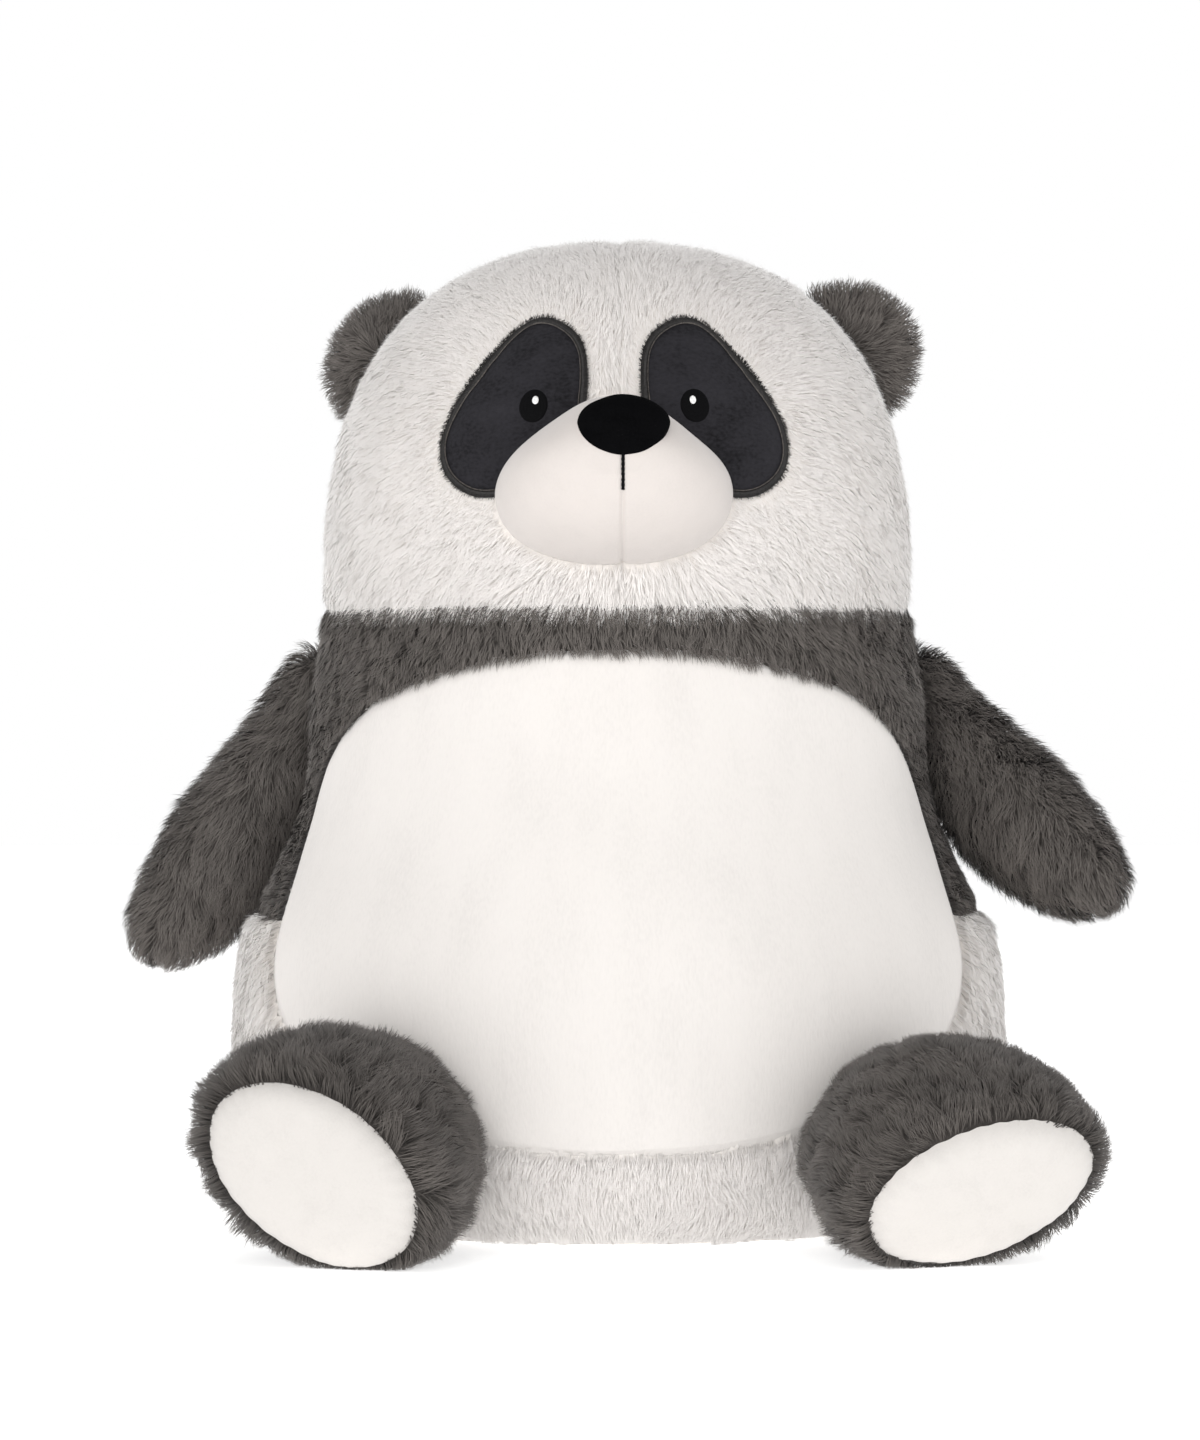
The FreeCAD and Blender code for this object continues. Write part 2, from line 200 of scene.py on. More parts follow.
def distances(tree, points, limit):
    out = np.full(len(points), limit)
    for i, p in enumerate(points):
        hit = tree.find_nearest(p, limit)
        if hit[3] is not None:
            out[i] = hit[3]
    return out


def disc_steps(rings, spokes, start=0.0):
    """(share of the radius, spoke, angle) of each vertex of a disc, its middle first."""
    for i in range(rings + 1):
        for j in range(spokes if i else 1):
            yield i / rings, j, start + 2 * math.pi * j / spokes


def disc_faces(rings, spokes, turned=False):
    faces = []
    for i in range(rings):
        a, b = 1 + (i - 1) * spokes, 1 + i * spokes
        for j in range(spokes):
            k = (j + 1) % spokes
            face = (a + j, b + j, b + k, a + k) if i else (0, 1 + j, 1 + k)
            faces.append(face[:1] + face[:0:-1] if turned else face)
    return faces


def split_by(obj, name, keep):
    """A new object from the faces of obj that keep marks."""
    mesh = obj.data
    faces = [tuple(mesh.polygons[i].vertices) for i in np.nonzero(keep)[0]]
    used = sorted({v for f in faces for v in f})
    index = {v: i for i, v in enumerate(used)}
    co = points_of(mesh)[used]
    return new_object(name, co, [[index[v] for v in f] for f in faces])


# ---------------- noise without textures
RNG = np.random.default_rng(20240611)
WAVES = RNG.normal(size=(24, 3))
WAVES /= np.linalg.norm(WAVES, axis=1, keepdims=True)
PHASE = RNG.uniform(0, 2 * math.pi, 24)
SUMMED = 8  # waves in one noise value


def waves(points, size, seed):
    """Smooth noise, about -1 to 1, whose bumps are about size across."""
    total = np.zeros(len(points))
    for k in range(SUMMED):
        j = (seed * 5 + k) % len(WAVES)
        total += np.sin(points @ WAVES[j] * (2 * math.pi / size) * (0.7 + 0.08 * k) + PHASE[j])
    return total / math.sqrt(SUMMED) * 0.8


def unit(v):
    return v / np.maximum(np.linalg.norm(v, axis=-1, keepdims=True), 1e-12)


# ---------------- materials
def material(name, rough, sheen, specular):
    mat = bpy.data.materials.new(name)
    mat.use_nodes = True
    tree = mat.node_tree
    shader = tree.nodes["Principled BSDF"]
    shader.inputs["Roughness"].default_value = rough
    shader.inputs["Sheen Weight"].default_value = sheen
    shader.inputs["Sheen Roughness"].default_value = 0.5
    shader.inputs["Specular IOR Level"].default_value = specular
    return mat, tree, shader


def node(tree, kind, **values):
    made = tree.nodes.new(kind)
    for key, value in values.items():
        setattr(made, key, value)
    return made


def noise(tree, vector, size, detail):
    """The noise texture with bumps of this size."""
    made = tree.nodes.new("ShaderNodeTexNoise")
    made.inputs["Scale"].default_value = 1.0 / size
    made.inputs["Detail"].default_value = detail
    tree.links.new(vector, made.inputs["Vector"])
    return made.outputs["Fac"]


def ramp(tree, source, stops):
    made = tree.nodes.new("ShaderNodeValToRGB")
    tree.links.new(source, made.inputs["Fac"])
    elements = made.color_ramp.elements
    while len(elements) < len(stops):
        elements.new(0.5)
    for element, (at, colour) in zip(elements, stops):
        element.position = at
        element.color = (*colour, 1.0)
    return made.outputs["Color"]


def scaled(colour, by):
    return tuple(min(1.0, c * by) for c in colour)


def fur_material(name, root, tip, sheen, spread):
    """Strand colour from root to tip, the roots painted darker as shade down among the strands, varied by
    spread from strand to strand and from tuft to tuft.
    """
    mat, tree, shader = material(name, 0.75, sheen, 0.25)
    tint = node(tree, "ShaderNodeAttribute", attribute_name="fur_tint")
    parts = tree.nodes.new("ShaderNodeSeparateColor")
    tree.links.new(tint.outputs["Color"], parts.inputs["Color"])
    middle = tuple(0.5 * (a + b) for a, b in zip(root, tip))
    # The ramp darkens towards the root: painted shade among the strands.
    along = ramp(tree, parts.outputs["Green"], [(0.0, root), (0.55, middle), (1.0, tip)])
    value = tree.nodes.new("ShaderNodeHueSaturation")
    vary = node(tree, "ShaderNodeMapRange")
    vary.inputs["To Min"].default_value = 1.0 - spread
    vary.inputs["To Max"].default_value = 1.0 + spread
    tree.links.new(parts.outputs["Red"], vary.inputs["Value"])
    tree.links.new(vary.outputs["Result"], value.inputs["Value"])
    tree.links.new(along, value.inputs["Color"])
    tree.links.new(value.outputs["Color"], shader.inputs["Base Color"])
    return mat


def cloth_material(name, colour, grain, depth, stretch=(1, 1, 1), vary=0.05, rough=0.85, sheen=0.3,
                   patches=9 * MM, specular=0.2):
    """Velour or backing: pile grain of size grain, with soft patches painted lighter and darker where the
    pile lies differently, a painted sheen.
    """
    mat, tree, shader = material(name, rough, sheen, specular)
    where = tree.nodes.new("ShaderNodeTexCoord")
    mapping = tree.nodes.new("ShaderNodeMapping")
    mapping.inputs["Scale"].default_value = stretch
    tree.links.new(where.outputs["Object"], mapping.inputs["Vector"])
    fine = noise(tree, mapping.outputs["Vector"], 3 * grain, 4)
    broad = noise(tree, mapping.outputs["Vector"], patches, 3)
    mix = node(tree, "ShaderNodeMath", operation="MULTIPLY_ADD")
    mix.inputs[1].default_value = 0.5
    tree.links.new(fine, mix.inputs[0])
    half = node(tree, "ShaderNodeMath", operation="MULTIPLY")
    half.inputs[1].default_value = 0.5
    tree.links.new(broad, half.inputs[0])
    tree.links.new(half.outputs["Value"], mix.inputs[2])
    # The broad patches in this ramp are painted sheen. The fine grain is the cloth's own texture.
    stops = [(0.3, scaled(colour, 1 - 2 * vary)), (0.5, colour), (0.72, scaled(colour, 1 + vary))]
    tree.links.new(ramp(tree, mix.outputs["Value"], stops), shader.inputs["Base Color"])
    bump = tree.nodes.new("ShaderNodeBump")
    bump.inputs["Strength"].default_value = depth
    bump.inputs["Distance"].default_value = 0.3 * MM
    tree.links.new(fine, bump.inputs["Height"])
    tree.links.new(bump.outputs["Normal"], shader.inputs["Normal"])
    return mat


# Roots darker than tips: painted shade down among the strands. The legs' roots are painted darker still.
WHITE_ROOT, WHITE_TIP = (0.93, 0.892, 0.862), (0.975, 0.946, 0.922)
GREY_ROOT, GREY_TIP = (0.059, 0.0520, 0.0475), (0.210, 0.189, 0.173)
LEG_ROOT, LEG_TIP = scaled(GREY_ROOT, 0.80), scaled(GREY_TIP, 0.98)
MAT = {
    "white_fur": fur_material("white_fur", WHITE_ROOT, WHITE_TIP, spread=0.03, sheen=0.55),
    "grey_fur": fur_material("grey_fur", GREY_ROOT, GREY_TIP, spread=0.26, sheen=0.08),
    "grey_fur_light": fur_material("grey_fur_light", LEG_ROOT, LEG_TIP, spread=0.34, sheen=0.08),
    "white_backing": cloth_material("white_backing", (0.88, 0.84, 0.80), grain=0.6 * MM, depth=0.5),
    "grey_backing": cloth_material("grey_backing", (0.070, 0.062, 0.056), grain=0.6 * MM, depth=0.5),
    "belly": cloth_material("belly_velour", (0.755, 0.722, 0.695), grain=0.30 * MM, depth=0.30,
                            stretch=(1.0, 1.0, 0.28), vary=0.03, patches=18 * MM),
    "muzzle": cloth_material("muzzle_velour", (0.63, 0.584, 0.556), grain=0.28 * MM, depth=0.22,
                             vary=0.018),
    "sole": cloth_material("sole_velour", (0.635, 0.608, 0.582), grain=0.30 * MM, depth=0.3, vary=0.025),
    "patch": cloth_material("patch_velour", (0.0205, 0.0197, 0.0232), grain=0.36 * MM, depth=0.6,
                            stretch=(0.6, 1.0, 1.0), vary=0.36, sheen=0.04, patches=14 * MM, specular=0.1),
    "nose": cloth_material("nose_velour", (0.0028, 0.0028, 0.0032), grain=0.30 * MM, depth=0.5, vary=0.2,
                           sheen=0.0, rough=0.95, specular=0.02),
    "base": cloth_material("base_cloth", (0.78, 0.75, 0.71), grain=0.7 * MM, depth=0.6, vary=0.05),
}


def thread_material(name, colour, rough=0.5, vary=0.2, sheen=0.0, specular=0.35):
    mat, tree, shader = material(name, rough, sheen, specular)
    where = tree.nodes.new("ShaderNodeTexCoord")
    grain = noise(tree, where.outputs["Object"], 0.8 * MM, 3)
    stops = [(0.3, scaled(colour, 1 - vary)), (0.7, scaled(colour, 1 + vary))]
    tree.links.new(ramp(tree, grain, stops), shader.inputs["Base Color"])
    return mat


MAT["border_thread"] = thread_material("border_thread", (0.0165, 0.0150, 0.0145), vary=0.6)
MAT["border_edge"] = thread_material("border_edge", (0.008, 0.0075, 0.0075))
# The fold ring is lighter than the band: a paler thread line, with a painted highlight along the folded
# edge.
MAT["border_fold_thread_and_highlight"] = thread_material("border_fold_thread_and_highlight", (0.070, 0.062, 0.057), vary=0.6)
MAT["black_thread"] = thread_material("black_thread", (0.0035, 0.0035, 0.004), rough=0.7, specular=0.05)
MAT["white_thread"] = thread_material("white_thread", (0.85, 0.85, 0.84))
MAT["cream_thread"] = thread_material("cream_thread", (0.62, 0.58, 0.54), rough=0.6)


def paint(obj, key):
    obj.data.materials.clear()
    obj.data.materials.append(MAT[key])


def finished(obj, key, body, replaced=()):
    """Material, body and replaced nodes of a piece."""
    paint(obj, key)
    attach(obj, body)
    if replaced:
        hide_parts(*replaced)


# ---------------- fur
PIECE_STRANDS = {3: 62000, 4: 38000}  # strands in one piece at the most, by points along a strand
FULL_DENSITY = 1.5e6                  # strands per square metre
DENSITY = FULL_DENSITY
LEADERS = 0.030                       # tufts per strand for a tuft 5 mm across, at full density
GUARD_HAIRS = 0.07                    # the share of strands that stand out of the rest
HALF_WIDTHS = {3: (0.5, 0.42), 4: (0.5, 0.46, 0.32)}  # of a strand at each of its points but the tip
PILE = {
    "stand": 25.0,        # degrees between a strand and the cloth's normal where it starts
    "lie": 75.0,          # and the same at its tip
    "width": 0.32 * MM,
    "tuft": 5.0 * MM,     # how far apart the tufts are
    "gather": 0.45,       # how far a strand leans to the middle strand of its tuft
    "clump": 0.2,         # radians by which whole tufts turn away from the comb
    "stray": 0.25,        # and single strands
    "swirl": 0.3,         # and broad stretches of the pile
    "even": 0.22,         # how much shorter the shortest strands are
    "relief": 0.2,        # how much a strand's own facing shows in its shading
    "rings": 4,           # points along a strand
    "lift": 0.0,          # how far above the floor a tuft may end
}


def sample(obj, per_m2, rng):
    """Random points on obj's faces with smooth normals, even over the surface."""
    mesh = obj.data
    mesh.calc_loop_triangles()
    tris = np.zeros(len(mesh.loop_triangles) * 3, np.int32)
    mesh.loop_triangles.foreach_get("vertices", tris)
    tris = tris.reshape(-1, 3)
    co, no = points_of(mesh), normals_of(mesh)
    a, b, c = co[tris[:, 0]], co[tris[:, 1]], co[tris[:, 2]]
    area = np.linalg.norm(np.cross(b - a, c - a), axis=1) / 2
    count = int(area.sum() * per_m2)
    steps = (np.arange(count) + rng.uniform(size=count)) / count * area.sum()
    pick = np.minimum(np.searchsorted(np.cumsum(area), steps), len(area) - 1)
    u, v = rng.uniform(size=count), rng.uniform(size=count)
    flip = u + v > 1
    u[flip], v[flip] = 1 - u[flip], 1 - v[flip]
    weights = np.stack([1 - u - v, u, v], 1)
    t = tris[pick]
    point = (co[t] * weights[:, :, None]).sum(1)
    normal = unit((no[t] * weights[:, :, None]).sum(1))
    return point, normal


def centre_lines(root, normal, comb, length, stand, lie, rings):
    """Points along strands that start at angle stand from the cloth's normal and bend to angle lie."""
    points = [root]
    at = root.copy()
    steps = rings - 1
    for k in range(steps):
        a = stand + (lie - stand) * k / (steps - 1)
        at = at + (normal * np.cos(a)[:, None] + comb * np.sin(a)[:, None]) * (length / steps)[:, None]
        points.append(at)
    return np.stack(points, 1)


def strands(name, root, normal, comb, length, rng, key, body, look):
    """One piece of pile: narrow tapered ribbons, each leaning towards the middle strand of its tuft."""
    count = len(root)
    # tufts
    share = min(0.5, LEADERS * (5 * MM / look.tuft) ** 2 * FULL_DENSITY / DENSITY)
    leaders = rng.choice(count, max(4, int(count * share)), replace=False)
    kd = KDTree(len(leaders))
    for i, j in enumerate(leaders):
        kd.insert(root[j], i)
    kd.balance()
    jitter = rng.normal(0, look.tuft * 0.10, (count, 3))
    tuft_of = np.array([kd.find(p)[1] for p in root + jitter])
    leader = leaders[tuft_of]
    turned, raised = rng.normal(0, look.clump, (2, len(leaders)))
    # directions
    comb = unit(comb - normal * (comb * normal).sum(1, keepdims=True))
    side = np.cross(normal, comb)
    angle = rng.normal(0, look.stray, count) + look.swirl * waves(root, 34 * MM, 2) + turned[tuft_of]
    comb = comb * np.cos(angle)[:, None] + side * np.sin(angle)[:, None]
    stands = np.radians(look.stand + rng.normal(0, 6, count) + 5 * waves(root, 22 * MM, 1))
    lies = np.radians(look.lie + rng.normal(0, 8, count) + 5 * waves(root, 18 * MM, 3))
    lies = lies + 0.4 * raised[tuft_of]
    lies -= np.radians(28) * (rng.uniform(size=count) < GUARD_HAIRS)
    length = length * (1 - look.even * rng.uniform(0, 1, count) ** 1.6)
    length = length * rng.uniform(0.90, 1.08, len(leaders))[tuft_of]
    rings = look.rings
    lines = centre_lines(root, normal, comb, length, stands, lies, rings)
    pull = (np.linspace(0, 1, rings) ** 1.3)[None, :, None] * look.gather
    lines = lines + (lines[leader] - lines) * pull * rng.uniform(0.3, 1.0, (count, 1, 1))
    lowest = 0.2 * MM + look.lift * rng.uniform(size=len(leaders))[tuft_of]
    lines[:, 1:, 2] = np.maximum(lines[:, 1:, 2], lowest[:, None])
    # ribbons
    tangent = unit(np.gradient(lines, axis=1))[:, 1]
    flat = unit(np.cross(tangent, normal))
    turn = rng.normal(0, 0.6, count)[:, None]
    flat = flat * np.cos(turn) + np.cross(flat, tangent) * np.sin(turn)
    wide = np.array(HALF_WIDTHS[rings])[None, :, None]
    half = wide * (look.width * rng.uniform(0.7, 1.25, count))[:, None, None]
    left = lines[:, :-1] - flat[:, None, :] * half
    right = lines[:, :-1] + flat[:, None, :] * half
    per = 2 * rings - 1
    flips = (np.cross(right[:, 0] - left[:, 0], left[:, 1] - left[:, 0]) * normal).sum(1) < 0
    left[flips], right[flips] = right[flips], left[flips].copy()
    verts = np.empty((count, per, 3))
    verts[:, 0:-1:2], verts[:, 1:-1:2], verts[:, -1] = left, right, lines[:, -1]
    geometric = unit(np.cross(flat, tangent))
    geometric *= np.sign((geometric * normal).sum(1, keepdims=True) + 1e-9)
    shading = unit((1 - look.relief) * normal + look.relief * geometric)
    tips = unit((1 - look.relief) * normal + look.relief * comb)
    mesh = bpy.data.meshes.new(name)
    mesh.vertices.add(count * per)
    mesh.vertices.foreach_set("co", verts.astype(np.float32).ravel())
    quads = rings - 2
    loops = np.array([v for q in range(quads) for v in (2 * q, 2 * q + 1, 2 * q + 3, 2 * q + 2)]
                     + [per - 3, per - 2, per - 1])
    mesh.loops.add(count * len(loops))
    corner = np.arange(count)[:, None] * per + loops[None, :]
    mesh.loops.foreach_set("vertex_index", corner.astype(np.int32).ravel())
    mesh.polygons.add(count * (quads + 1))
    starts = np.arange(count)[:, None] * len(loops) + 4 * np.arange(quads + 1)[None, :]
    mesh.polygons.foreach_set("loop_start", starts.astype(np.int32).ravel())
    mesh.polygons.foreach_set("use_smooth", np.ones(count * (quads + 1), bool))
    mesh.update(calc_edges=True)
    tint = mesh.attributes.new("fur_tint", "FLOAT_COLOR", "POINT")
    colour = np.ones((count, per, 4))
    shade = 0.45 * rng.uniform(size=count) + 0.35 * rng.uniform(size=count)[leader]
    shade += 0.20 * (0.5 + 0.5 * np.clip(waves(root, 25 * MM, 4), -1, 1))
    colour[:, :, 0] = shade[:, None]
    along = np.minimum(np.arange(per) // 2, rings - 1) / (rings - 1)
    colour[:, :, 1] = along[None, :]
    tint.data.foreach_set("color", colour.astype(np.float32).ravel())
    mix = along[None, :, None]
    custom = unit(shading[:, None, :] * (1 - mix) + tips[:, None, :] * mix).reshape(-1, 3)
    mesh.normals_split_custom_set_from_vertices(custom.astype(np.float32))
    finished(placed(name, mesh), key, body)


def grow(name, root, normal, comb, length, rng, key, body, order=None, slot_name=None, **look):
    """Pile on root points, in as many pieces as its strand count asks for, side by side along order."""
    look = SimpleNamespace(**{**PILE, **look})
    length = np.broadcast_to(length, len(root))
    if order is None:
        order = root[:, 0]
    parts = max(1, math.ceil(len(root) / PIECE_STRANDS[look.rings]))
    for n, part in enumerate(np.array_split(np.argsort(order), parts)):
        label = name if parts == 1 else f"{name}_{n + 1}"
        strands(label, root[part], normal[part], comb[part], length[part], rng, key, body, look)


# ---------------- trunk
PANELS = {
    "head_fur": ("head_front_left", "head_front_right", "head_back_left", "head_back_right"),
    "yoke_fur": ("yoke_front", "yoke_back_left", "yoke_back_right"),
    "belly": ("belly_panel",),
    "lower_fur": ("lower_front", "lower_left", "lower_right"),
    "base": ("base_panel",),
}
SEAM_DENT = 1.6 * MM       # how far the cover is drawn in along a seam
SEAM_REACH = 3.2 * MM      # and how far from the seam the cover still bends
LOW_SEAM_DENT = 0.5 * MM   # how far along the belly's bottom edge, where the pile hides the seam
LOW_Z = 0.06               # below this is the strip under the belly

neck_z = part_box("head_filling")[0].z
face_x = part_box("muzzle_left")[0].x
trunk = remeshed(joined("trunk_shape", "head_filling", "body_filling"), 5 * MM)
trunk = smoothed(offset(trunk, COVER), 2)
sewn = [n for group in ("head_fur", "yoke_fur", "lower_fur", "belly", "base") for n in PANELS[group]]
panel_trees = {n: node_tree(n) for n in sewn}
panel_names = list(panel_trees)
BELLY = panel_names.index("belly_panel")


def panel_distances(points):
    """How far each point is from each panel, a column for each."""
    return np.stack([distances(panel_trees[n], points, 0.03) for n in panel_names], 1)


rough_far = np.sort(panel_distances(points_of(trunk.data)), axis=1)
pins = np.exp(-(np.maximum(rough_far[:, 1] - 2 * MM, 0) / (5 * MM)) ** 2)
pins[points_of(trunk.data)[:, 2] < 6 * MM] = 1.0
trunk = puffed(trunk, pins, cap=2.0 * MM)
trunk = subdivided(trunk, 1)
co, no = points_of(trunk.data), normals_of(trunk.data)
far = panel_distances(co)
nearest = np.argmin(far, axis=1)
seam = np.sort(far, axis=1)[:, 1]
dent = np.where(co[:, 2] < LOW_Z, LOW_SEAM_DENT, SEAM_DENT)
co -= no * (dent * np.exp(-(seam / SEAM_REACH) ** 2))[:, None]
co += no * (waves(co, 70 * MM, 1) * 0.5 * MM)[:, None]
co[:, 2] = np.maximum(co[:, 2], 0.2 * MM)
set_points(trunk.data, co)

GROUP_OF = np.array([next(g for g, names in PANELS.items() if n in names) for n in panel_names])
vertex_group = GROUP_OF[nearest]
corners = [tuple(p.vertices) for p in trunk.data.polygons]
trunk_z = points_of(trunk.data)[:, 2]
belly_far = far[:, BELLY]
face_group = np.array([vertex_group[c[0]] for c in corners])
low_z = np.array([trunk_z[list(c)].mean() for c in corners])
face_group[(face_group == "base") & (low_z > 1.0 * MM)] = "lower_fur"

skins = {}
for group, key, slot_name in (("head_fur", "white_backing", "white_pile_fur"),
                              ("yoke_fur", "grey_backing", "grey_pile_fur"),
                              ("lower_fur", "white_backing", "white_pile_fur")):
    skin = split_by(trunk, group.replace("fur", "skin"), face_group == group)
    finished(skin, key, "trunk", PANELS[group])
    skins[group] = skin

BELLY_TURN_IN = 3.0 * MM  # how far the belly's cover runs under the pile past its seam
near_belly = np.array([min(belly_far[list(c)]) < 6 * MM for c in corners])
wide_belly = subdivided(split_by(trunk, "scratch", near_belly), 2)
wide_far = panel_distances(points_of(wide_belly.data))
is_belly = (np.argmin(wide_far, axis=1) == BELLY) | (wide_far[:, BELLY] < BELLY_TURN_IN)
inside = np.array([is_belly[list(p.vertices)].all() for p in wide_belly.data.polygons])
belly = split_by(wide_belly, "belly_cover", inside)
bpy.data.objects.remove(wide_belly)
co, no = points_of(belly.data), normals_of(belly.data)
here = panel_distances(co)
past_seam = np.argmin(here, axis=1) != BELLY
from_seam = np.where(past_seam, -here[:, BELLY], np.sort(here, axis=1)[:, 1])
sink = np.where(co[:, 2] < LOW_Z, 0.5, 1.7) * MM
rise = 0.9 * MM * np.clip(from_seam / (3 * MM), 0, 1) + sink * np.clip(from_seam / (2 * MM), -1, 0)
set_points(belly.data, co + no * (rise - 0.35 * MM)[:, None])
finished(belly, "belly", "trunk", ("belly_panel",))

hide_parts("head_filling", "muzzle_filling", "nose_filling")
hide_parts("body_filling")

# ---------------- face
muzzle_tree = node_tree("muzzle_left", "muzzle_right", "muzzle_filling")
trunk_tree = tree_of(trunk)


def on_face(x, z):
    """The point of the head's cover straight behind (x, z), and its normal."""
    hit, normal, _, _ = trunk_tree.ray_cast(Vector((x, -0.3, z)), FRONT)
    return np.array(hit), np.array(normal)


def outline_of(name):
    """A node's outline seen from the front as radii about its middle, smooth and closed."""
    pts = node_points(name)[:, [0, 2]]
    middle = (pts.min(0) + pts.max(0)) / 2
    rel = pts - middle
    angle = np.arctan2(rel[:, 1], rel[:, 0])
    radius = np.hypot(rel[:, 0], rel[:, 1])
    count = 72
    out = np.zeros(count)
    for i in range(count):
        a = -math.pi + 2 * math.pi * i / count
        apart = np.abs((angle - a + math.pi) % (2 * math.pi) - math.pi)
        out[i] = radius[apart < 0.07].max() if (apart < 0.07).any() else np.nan
    good = ~np.isnan(out)
    out = np.interp(np.arange(count), np.nonzero(good)[0], out[good], period=count)
    for _ in range(2):
        out = (np.roll(out, 1) + 2 * out + np.roll(out, -1)) / 4
    return middle, out


def radius_at(out, angle):
    at = (angle + math.pi) / (2 * math.pi) * len(out)
    low = np.floor(at).astype(int)
    t = at - low
    n = len(out)
    p0, p1, p2, p3 = (out[(low + k) % n] for k in (-1, 0, 1, 2))
    return p1 + 0.5 * t * (p2 - p0 + t * (2 * p0 - 5 * p1 + 4 * p2 - p3 + t * (3 * (p1 - p2) + p3 - p0)))


def applique(name, middle, outline, rings, spokes, shrink, height, key, replaced):
    """A crowned disc sewn on the face: outline about middle, drawn in by shrink, raised by height(r, a)."""
    angles = -math.pi + 2 * math.pi * np.arange(spokes) / spokes
    reach = radius_at(outline, angles) - shrink
    verts = []
    for r, j, a in disc_steps(rings, spokes, -math.pi):
        p, n = on_face(middle[0] + reach[j] * r * math.cos(a), middle[1] + reach[j] * r * math.sin(a))
        verts.append(p + n * height(r, a))
    finished(new_object(name, verts, disc_faces(rings, spokes)), key, "trunk", replaced)


def satin_ring(name, middle, outline, outer_in, inner_in, base, crown, key, replaced, stitch=0.75 * MM):
    """An embroidered edge: satin stitches side by side over a raised band that follows the outline."""
    angles = np.linspace(-math.pi, math.pi, 2881)[:-1]
    line = radius_at(outline, angles)
    xz = np.stack([np.cos(angles) * line, np.sin(angles) * line], 1)
    along = np.concatenate([[0], np.cumsum(np.linalg.norm(np.diff(xz, axis=0), axis=1))])
    total = along[-1] + np.linalg.norm(xz[0] - xz[-1])
    stitches = int(total / stitch)
    steps = stitches * 4
    at = np.interp(np.arange(steps) * total / steps, along, angles)
    across = 8
    verts, faces = [], []
    for i, a in enumerate(at):
        r = float(radius_at(outline, np.array([a]))[0])
        wave = math.sin(2 * math.pi * i / 4 + 0.6)
        for j in range(across + 1):
            t = j / across
            rr = r - outer_in + (outer_in - inner_in) * t
            p, n = on_face(middle[0] + rr * math.cos(a), middle[1] + rr * math.sin(a))
            dome = math.sqrt(max(0.0, 1 - (2 * t - 1) ** 2))
            verts.append(p + n * (base + crown * dome + 0.10 * MM * wave * (0.3 + dome)))
    row = across + 1
    for i in range(steps):
        k = (i + 1) % steps
        for j in range(across):
            faces.append((i * row + j, i * row + j + 1, k * row + j + 1, k * row + j))
    finished(new_object(name, verts, faces), key, "trunk", replaced)


def border_fuzz(side, middle, out):
    """Thread ends that stand out round the edge of the embroidery."""
    rng = np.random.default_rng(61 if side == "left" else 62)
    count = 3200
    angle = rng.uniform(-math.pi, math.pi, count)
    reach = radius_at(out, angle) - rng.uniform(-0.4, 1.6, count) * MM
    around = zip(middle[0] + reach * np.cos(angle), middle[1] + reach * np.sin(angle))
    found = [on_face(x, z) for x, z in around]
    root, normal = np.array([f[0] for f in found]), np.array([f[1] for f in found])
    away = np.stack([np.cos(angle), np.zeros(count), np.sin(angle)], 1)
    grow(f"eye_patch_{side}_fuzz", root + normal * PATCH_LIFT * 0.75, normal, away, FUZZ, rng,
         "border_thread", "trunk", slot_name="border_embroidery", stand=55, lie=88, width=0.24 * MM,
         tuft=1.5 * MM, gather=0.1, clump=0.3, stray=0.4, rings=3, even=0.5)


PATCH_LIFT = 3.2 * MM
PATCH_INSET = 1.7 * MM  # the pile hides the very edge of the embroidery
FUZZ = 1.9 * MM         # length of the thread ends round the embroidery
BORDER_WIDTH = 2.3 * MM
outlines = {}
for side in ("left", "right"):
    border = f"eye_patch_border_{side}"
    middle, out = outline_of(border)
    out = out - PATCH_INSET
    outlines[side] = (middle, out)

    def crown(r, a):
        return PATCH_LIFT * (1 - 0.42 * r ** 5) + 0.5 * MM * (1 - r * r)

    applique(f"eye_patch_{side}_velour", middle, out, 22, 120, 1.8 * MM, crown, "patch",
             (f"eye_patch_{side}",))
    satin_ring(f"eye_patch_{side}_border", middle, out, 0.0, BORDER_WIDTH, PATCH_LIFT * 0.62, 0.9 * MM,
               "border_thread", (border,))
    satin_ring(f"eye_patch_{side}_edge", middle, out, -0.5 * MM, 0.5 * MM, PATCH_LIFT * 0.50, 0.45 * MM,
               "border_edge", (border,), stitch=1.1 * MM)
    # The fold ring's lighter colour is partly a paler thread and partly a painted highlight along the folded
    # edge.
    satin_ring(f"eye_patch_{side}_fold", middle, out, BORDER_WIDTH - 0.15 * MM, BORDER_WIDTH + 0.3 * MM,
               PATCH_LIFT * 0.80, 0.35 * MM, "border_fold_thread_and_highlight", (border,), stitch=1.0 * MM)
    border_fuzz(side, middle, out)

    def dome(r, a):
        rows = math.sin(r * 30 + 2 * math.sin(a)) * 0.09 * MM
        return PATCH_LIFT + 0.4 * MM + 1.0 * MM * math.sqrt(max(0.0, 1 - r * r)) + rows

    eye_middle, eye_out = outline_of(f"eye_{side}")
    applique(f"eye_{side}_thread", eye_middle, eye_out, 16, 64, 0.0, dome, "black_thread",
             (f"eye_{side}",))

    def spark(r, a):
        return PATCH_LIFT + 1.65 * MM + 0.35 * MM * math.sqrt(max(0.0, 1 - r * r))

    glint_middle, glint_out = outline_of(f"eye_glint_{side}")
    applique(f"eye_{side}_glint", glint_middle, glint_out * 0.8, 5, 28, 0.0, spark, "white_thread",
             (f"eye_glint_{side}",))

